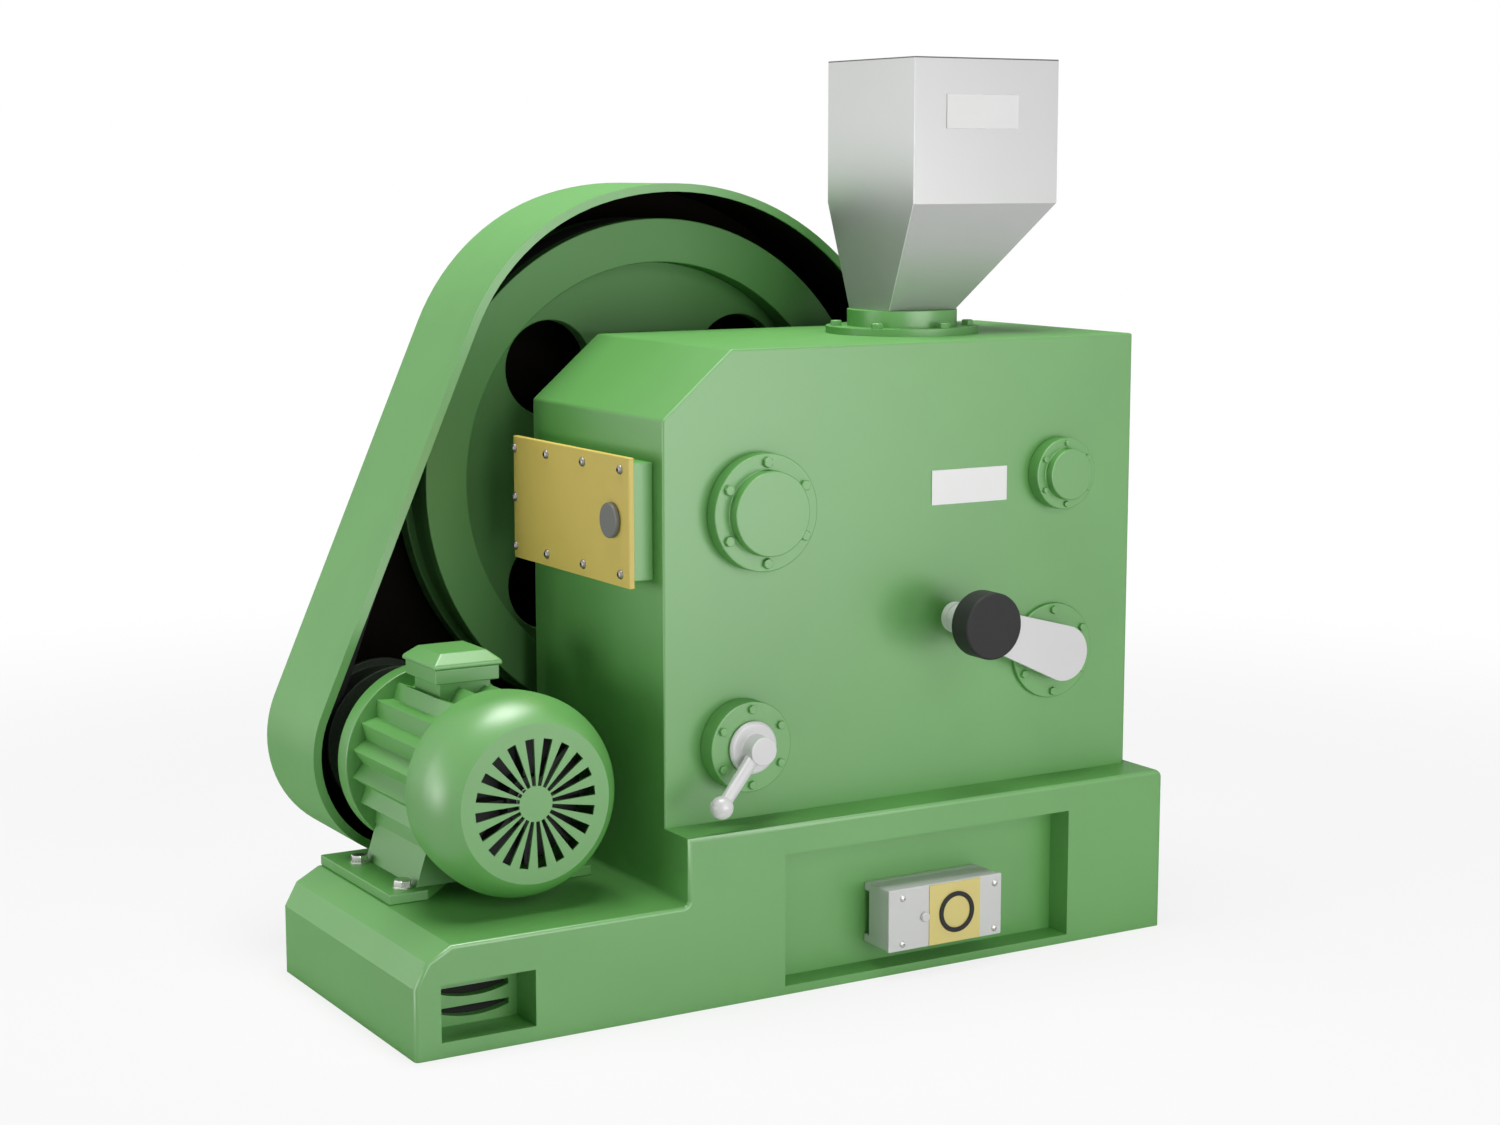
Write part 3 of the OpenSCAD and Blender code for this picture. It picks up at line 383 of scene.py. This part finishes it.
def soften(piece, width, segments=2, limit=SHARP, still=()):
    """Welds a piece, joins its coplanar triangles, and rounds by width the edges that turn by the limit,
    apart from those in still boxes. A width of 0 only welds."""
    piece.modifiers.new("weld", "NODES").node_group = weld_group(limit, still) if still else welded[limit]
    if not width:
        return piece
    flat = piece.modifiers.new("flat", "DECIMATE")
    flat.decimate_type, flat.angle_limit = "DISSOLVE", COPLANAR
    bevel = piece.modifiers.new("edge", "BEVEL")
    bevel.width, bevel.segments = width, segments
    bevel.limit_method, bevel.angle_limit = "WEIGHT" if still else "ANGLE", limit
    bevel.miter_outer, bevel.harden_normals = "MITER_ARC", True
    bevel.loop_slide = not still
    return piece


EDGE = 0.0015
edges = dict.fromkeys(nodes, EDGE)
edges.update(base=0.005, housing=0.003, guard_band=0.001, guard_lip=0.001, guard_back=0.001, hopper=0.0008)
edges.update(hopper_label=0.0004, name_plate=0.0004, control_panel=0.0003, control_ring=0.0006)
edges.update(crank_arm=0.0, fan_cowl=0.0, feed_flange=0.0)
edges.update(crank_knob=0.003, motor_fan=0.0008, terminal_lid=0.002)
print("edge widths", sorted(set(edges.values())))

# %% Edges that stay sharp, and the rest
FAR, NEAR = 1.0, 0.001
ROUND_DEEP, BORE_WALL = 0.012, 0.02
TOP = (FAR, FAR, FAR)
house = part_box("housing")[0]
seat_low, seat_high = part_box("crank_flange")
shaft_low, shaft_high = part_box("drive_shaft")
bore_low = (shaft_low.x - BORE_WALL, -FAR, shaft_low.z - BORE_WALL)
bore_high = (shaft_high.x + BORE_WALL, FAR, shaft_high.z + BORE_WALL)
still = {
    "base": {
        "underside": ((-FAR, -FAR, -NEAR), (FAR, FAR, NEAR)),
        "under the housing": ((house.x - NEAR, house.y - NEAR, house.z - ROUND_DEEP), TOP),
        "back right corner": ((0.49, 0.18, 0.0), TOP),
        "fold lines": ((-FAR, -NEAR, 0.07), (-0.44, NEAR, FAR)),
        "control recess": ((-0.05, -0.19, 0.005), (0.36, -0.15, 0.17)),
        "vent recess": ((-0.475, -0.19, 0.01), (-0.355, -0.125, 0.085)),
    },
    "housing": {
        "underside": ((-FAR, -FAR, -NEAR), (FAR, FAR, house.z + NEAR)),
        "crank bore": ((seat_low.x, -FAR, seat_low.z), (seat_high.x, FAR, seat_high.z)),
        "shaft bore": (bore_low, bore_high),
        "jaw chamber": ((0.17, -0.03, 0.0), (0.33, 0.08, FAR)),
    },
}
for name, node in nodes.items():
    limit = FOLD if name == "hopper" else SHARP
    segments = 3 if edges[name] > EDGE else 2
    soften(node, edges[name], segments, limit, list(still.get(name, {}).values()))
print("softened", len(edges))

# %% [markdown]
# ## Bolts
# Every cover sits behind a ring of bolts that were painted over with the machine.
# The screws of the side cover and the control box, and the motor's foot bolts, are bare.
# A bolt head is a turned shape, apart from its six flats. So one grid does for all:
# down its rows a profile of radius and height, round its columns the angle,
# and where a row is hexagonal the radius at an angle is the half width over the cosine within that flat.

# %% Bolt heads
AROUND = 24
SINK = 0.0004
SEAM = 1e-6
SOFT_HEAD = 0.0004


def head_grid(profile):
    """Rows of (round radius, hexagon half width, height) carried round a circle: points (rows, AROUND, 3)."""
    rounds, flats, heights = np.array(profile, float).T[:, :, None]
    angle = np.linspace(0, 2 * np.pi, AROUND, endpoint=False)[None, :]
    radius = rounds + flats / np.cos(angle % (np.pi / 3) - np.pi / 6)
    return np.stack([radius * np.cos(angle), radius * np.sin(angle), heights + 0 * angle], -1)


def hex_bolt(half, high, washer=0.0, thick=0.0):
    """Hexagon head with a turned chamfer, as shares of its half width, over a washer if it has one."""
    crown, slope = half * 0.93, half * 0.14
    top = [(0, 0, high), (crown, 0, high), (0, half, high - slope), (0, half, thick)]
    skirt = [(washer, 0, thick), (washer, 0, -SINK)] if washer else [(0, half, -SINK)]
    return top + skirt + [(0, 0, -SINK)]


def button_screw(radius, high, key):
    """Dome radius sin t, high cos t from the key's rim to the seat, with a six-sided hole in its crown."""
    crown, floor_at, mouth_at = 0.55, high * 0.35, high * 0.9
    dome = [(radius * np.sin(t), 0, high * np.cos(t)) for t in np.linspace(crown, np.pi / 2, 6)]
    hole = [(0, 0, floor_at), (0, key, floor_at), (0, key, mouth_at)]
    return hole + dome + [(radius, 0, -SINK), (0, 0, -SINK)]


def bolt_set(name, profile, seats, out, body, finish, turn=0.3):
    """One piece with the same head on every seat: seat + u side + v across + height out,
    where (u, v) is the head's grid turned about its own axis by the seat's number times turn."""
    out = np.array(out, float)
    side = np.array((0.0, 0.0, 1.0)) if abs(out[2]) < 0.5 else np.array((1.0, 0.0, 0.0))
    across = np.cross(out, side)
    grid = head_grid(profile)
    seats = np.array(seats, float)
    spin = np.arange(len(seats))[:, None, None] * turn
    u = grid[..., 0] * np.cos(spin) - grid[..., 1] * np.sin(spin)
    v = grid[..., 0] * np.sin(spin) + grid[..., 1] * np.cos(spin)
    lifted = seats[:, None, None, :] + grid[None, ..., 2, None] * out
    points = lifted + u[..., None] * side + v[..., None] * across
    count, rows = len(seats), len(profile)
    index = np.arange(count * rows * AROUND).reshape(count, rows, AROUND)
    here, after = index, np.roll(index, -1, axis=2)
    faces = np.stack([here[:, :-1], here[:, 1:], after[:, 1:], after[:, :-1]], -1).reshape(-1, 4)
    return new_piece(name, points.reshape(-1, 3), faces, body, finish)


def new_piece(name, points, faces, body, finish):
    """A mesh from points and faces that rides on a body, its seams and poles merged, its faces outwards."""
    mesh = bpy.data.meshes.new(name)
    mesh.from_pydata(points.tolist(), [], faces.tolist())
    work = bmesh.new()
    work.from_mesh(mesh)
    bmesh.ops.remove_doubles(work, verts=work.verts, dist=SEAM)
    bmesh.ops.recalc_face_normals(work, faces=work.faces)
    work.to_mesh(mesh)
    work.free()
    piece = bpy.data.objects.new(name, mesh)
    scene.collection.objects.link(piece)
    mesh.materials.append(finishes[finish])
    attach(piece, body)
    print("piece", name, len(mesh.polygons), "faces")
    return piece


def ring_of(centre, radius, count, start=90.0):
    """Seats on an upright circle facing the front: centre (x, y, z), first seat at start degrees."""
    angle = np.radians(start + np.arange(count) * 360.0 / count)
    x, y, z = centre
    return np.stack([x + radius * np.cos(angle), y + 0 * angle, z + radius * np.sin(angle)], -1)


FRONT, LEFT, UP = (0, -1, 0), (-1, 0, 0), (0, 0, 1)


def middle(node, y=None):
    """Centre of a round front part along X and Z, at its own front face or at y."""
    low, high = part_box(node)
    return ((low.x + high.x) / 2, low.y if y is None else y, (low.z + high.z) / 2)


FLANGE_THICK = 0.019
cover_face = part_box("large_cover")[1].y - FLANGE_THICK
covers = [
    ("large_cover_bolts", middle("large_cover", cover_face), 0.057, 0.0055, 0.0048),
    ("small_cover_bolts", middle("small_cover", cover_face), 0.0365, 0.0033, 0.0034),
    ("crank_flange_bolts", middle("crank_flange"), 0.050, 0.0045, 0.0042),
    ("lever_flange_bolts", middle("lever_flange"), 0.0435, 0.0045, 0.0042),
]
for name, centre, radius, half, high in covers:
    seats = ring_of(centre, radius, 6)
    soften(bolt_set(name, hex_bolt(half, high), seats, FRONT, "frame", "green_paint"), SOFT_HEAD)

# %% Feed flange bolts
FEED_THICK, FEED_RING, FEED_START = 0.0085, 0.081, -25.5
feed_low, feed_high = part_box("feed_flange")
feed_centre = ((feed_low.x + feed_high.x) / 2, (feed_low.y + feed_high.y) / 2, feed_low.z + FEED_THICK)
feed_angle = np.radians(FEED_START + np.arange(6) * 60.0)
feed_way = np.stack([np.cos(feed_angle), np.sin(feed_angle), 0 * feed_angle], -1)
feed_seats = np.array(feed_centre) + FEED_RING * feed_way
feed_bolt = hex_bolt(0.0065, 0.0065)
soften(bolt_set("feed_flange_bolts", feed_bolt, feed_seats, UP, "frame", "green_paint"), SOFT_HEAD)

# %% Side cover screws
SIDE_COLUMNS, SIDE_ROWS = (0.1685, 0.0844, -0.0079, -0.0979), (0.6015, 0.4844)
SIDE_MIDDLE = (0.1688, 0.5431)
side_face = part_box("side_cover")[0].x
side_seats = [(side_face, y, z) for y in SIDE_COLUMNS for z in SIDE_ROWS] + [(side_face, *SIDE_MIDDLE)]
side_screw = button_screw(0.0055, 0.0042, 0.0022)
bolt_set("side_cover_screws", side_screw, side_seats, LEFT, "frame", "screw_steel")

# %% Control cover screws
CONTROL_COLUMNS, CONTROL_ROWS = (0.103, 0.2337), (0.0959, 0.0413)
control_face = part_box("control_cover")[0].y
control_seats = [(x, control_face, z) for x in CONTROL_COLUMNS for z in CONTROL_ROWS]
control_screw = button_screw(0.0041, 0.0030, 0.0014)
bolt_set("control_screws", control_screw, control_seats, FRONT, "frame", "bolt_steel")

# %% Motor foot bolts
FOOT_OUT, FOOT_ROWS, SOFT_FOOT = 0.100, (0.006, 0.131), 0.0005
foot_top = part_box("motor_plate")[1].z
motor_x = middle("motor_flange")[0]
foot_seats = [(motor_x + side * FOOT_OUT, y, foot_top) for side in (-1, 1) for y in FOOT_ROWS]
foot_bolt = hex_bolt(0.0092, 0.0095, 0.0112, 0.0015)
foot_bolts = bolt_set("motor_foot_bolts", foot_bolt, foot_seats, UP, "frame", "bolt_steel")
soften(foot_bolts, SOFT_FOOT)

# %% [markdown]
# ## The vent
# Behind the louvre slots of the base there is only shade inside the hollow machine.
# The CAD slot is a shallow pocket, so a near-black sheet of painted shade covers its floor, following the
# slot's arc.

# %% Vent shade sheets
RECESS_FLOOR, SLOT_DEEP = -0.141, 0.012
VENT_LEFT, VENT_LONG, VENT_LOW, VENT_HIGH = 0.030, 0.111, 0.017, 0.063
SLOT_HALF, SLOT_GAP, SLOT_EDGE = 0.04, 0.0005, 0.0002
SLOT_ALONG, SLOT_SHARE = 0.55, 0.2
SHEET_FRONT, SHEET_BACK = 0.0012, 0.0005
slot_floor = RECESS_FLOOR + SLOT_DEEP
slot_middle = cad_low[0] + VENT_LEFT + VENT_LONG * SLOT_ALONG
slot_high = VENT_HIGH * SLOT_SHARE
slot_across = np.linspace(SLOT_GAP - SLOT_HALF, SLOT_HALF - SLOT_GAP, 25)


def slot_shade_sheet(name, top):
    """A thin closed plate of painted shade over the slot's floor. Its top edge is level,
    and its low edge sags by half a slot times 1 - (across / half width) squared."""
    sag = slot_high / 2 * (1 - (slot_across / SLOT_HALF) ** 2)
    u = slot_middle + slot_across
    front, back = slot_floor - SHEET_FRONT, slot_floor + SHEET_BACK
    upper, lower = top - SLOT_EDGE + 0 * u, top - slot_high / 2 - sag + SLOT_EDGE
    ring = [(u, front, upper), (u, front, lower), (u, back, lower), (u, back, upper)]
    points = np.stack([np.stack([x, y + 0 * x, z], -1) for x, y, z in ring], 1)
    count = len(u)
    index = np.arange(count * 4).reshape(count, 4)
    after = np.roll(index, -1, axis=1)
    sides = np.stack([index[:-1], after[:-1], after[1:], index[1:]], -1).reshape(-1, 4)
    faces = np.concatenate([sides, index[[0, -1]]])
    return new_piece(name, points.reshape(-1, 3), faces, "frame", "vent_black")


# Painted shade: two near-black sheets behind the louvres stand in for the shade inside the base.
for name, share in (("vent_shade_high", 0.675), ("vent_shade_low", 0.325)):
    slot_shade_sheet(name, VENT_LOW + VENT_HIGH * share)

# %% [markdown]
# ## Floor and light
# The photograph is a studio shot on white, with a sheen over the whole front and a bright top.
# Five area lamps do the same: one overhead, two at the left for the motor and the guard,
# and a wide one and a high one in front. They are large and weak, because bare metal mirrors a lamp,
# and a small strong one would turn to plain white there.
# The world is white to the camera and in reflections, but it lights the machine less,
# so that the lamps still model its shapes. The floor glows white far away.
# Near the machine it keeps the shadow, and a mirror shows the paper there as the lamps light it.


# %% World
def seen_directly(tree):
    """1 for rays that show the background: from the camera, off a gloss, or through glass."""
    kinds = ("Camera", "Glossy", "Transmission")
    rays = [tree.node("ShaderNodeLightPath", out="Is %s Ray" % kind) for kind in kinds]
    return rays[0].math("MAXIMUM", rays[0], rays[1].math("MAXIMUM", rays[1], rays[2]))


FILL = 0.05
WHITE, PAPER = (1.0, 1.0, 1.0, 1.0), (0.80, 0.80, 0.80, 1.0)
world = bpy.data.worlds.new("studio")
scene.world = world
world.use_nodes = True
tree = Wire(world.node_tree)
direct = seen_directly(tree)
tree.feed(world.node_tree.nodes["Background"].inputs["Strength"], direct * (1.0 - FILL) + FILL)
world.node_tree.nodes["Background"].inputs["Color"].default_value = WHITE
print("world gives", FILL, "of its white as light")

# %% Floor
FLOOR_HALF = 12.0
NEAR_GLOW, GLOW_FROM, GLOW_SOFT = 0.82, 1.9, 1.8
floor_mesh = bpy.data.meshes.new("floor")
corners = np.array([(-1, -1), (1, -1), (1, 1), (-1, 1)]) * FLOOR_HALF
floor_mesh.from_pydata(np.column_stack([corners, np.zeros(4)]).tolist(), [], [(0, 1, 2, 3)])
floor = bpy.data.objects.new("floor", floor_mesh)
scene.collection.objects.link(floor)
floor_finish = bpy.data.materials.new("floor")
floor_finish.use_nodes = True
tree = Wire(floor_finish.node_tree)
floor_finish.node_tree.nodes.remove(floor_finish.node_tree.nodes["Principled BSDF"])
paper = tree.node("ShaderNodeBsdfDiffuse", None, {"Color": PAPER})
glow = tree.node("ShaderNodeEmission", None, {"Color": WHITE, "Strength": 1.0})
spot = tree.node("ShaderNodeTexCoord", out="Object")
distance = tree.node("ShaderNodeVectorMath", {"operation": "LENGTH"}, {0: spot}, "Value")
away = distance.above(GLOW_FROM, GLOW_SOFT)
mirrored = tree.node("ShaderNodeLightPath", out="Is Glossy Ray")
near = NEAR_GLOW - mirrored * NEAR_GLOW
share = seen_directly(tree) * (near + away * (1.0 - near))
shown = tree.node("ShaderNodeMixShader", None, {0: share, 1: paper, 2: glow})
tree.feed(floor_finish.node_tree.nodes["Material Output"].inputs["Surface"], shown)
floor_mesh.materials.append(floor_finish)
print("floor", FLOOR_HALF * 2, "m across")


# %% Lamps
def softbox(name, at, aim, size, radiance):
    """A rectangular lamp that faces a point: its power is radiance times pi times its area."""
    lamp = bpy.data.lights.new(name, "AREA")
    lamp.shape, lamp.size, lamp.size_y = "RECTANGLE", *size
    lamp.energy = radiance * np.pi * size[0] * size[1]
    holder = bpy.data.objects.new(name, lamp)
    scene.collection.objects.link(holder)
    at, aim = np.array(at, float), np.array(aim, float)
    back = (at - aim) / np.linalg.norm(at - aim)
    holder.location = at
    holder.rotation_euler = (np.arccos(back[2]), 0.0, np.arctan2(back[0], -back[1]))
    print("lamp", name, round(lamp.energy, 1), "W")


softbox("overhead", (-0.1, 0.1, 3.0), (0.0, 0.0, 0.4), (1.5, 1.5), 9.6)
softbox("left", (-3.0, 0.3, 0.3), (-0.3, 0.0, 0.3), (1.2, 0.8), 4.9)
softbox("left_back", (-2.6, 1.5, 0.7), (-0.2, 0.1, 0.4), (2.0, 1.2), 2.2)
softbox("right_front", (0.4, -2.75, 0.5), (0.0, -0.134, 0.5), (2.5, 0.9), 3.9)
softbox("front_high", (0.1, -2.9, 1.9), (0.0, -0.134, 0.5), (1.4, 1.0), 3.0)
scene.view_settings.view_transform = "Standard"
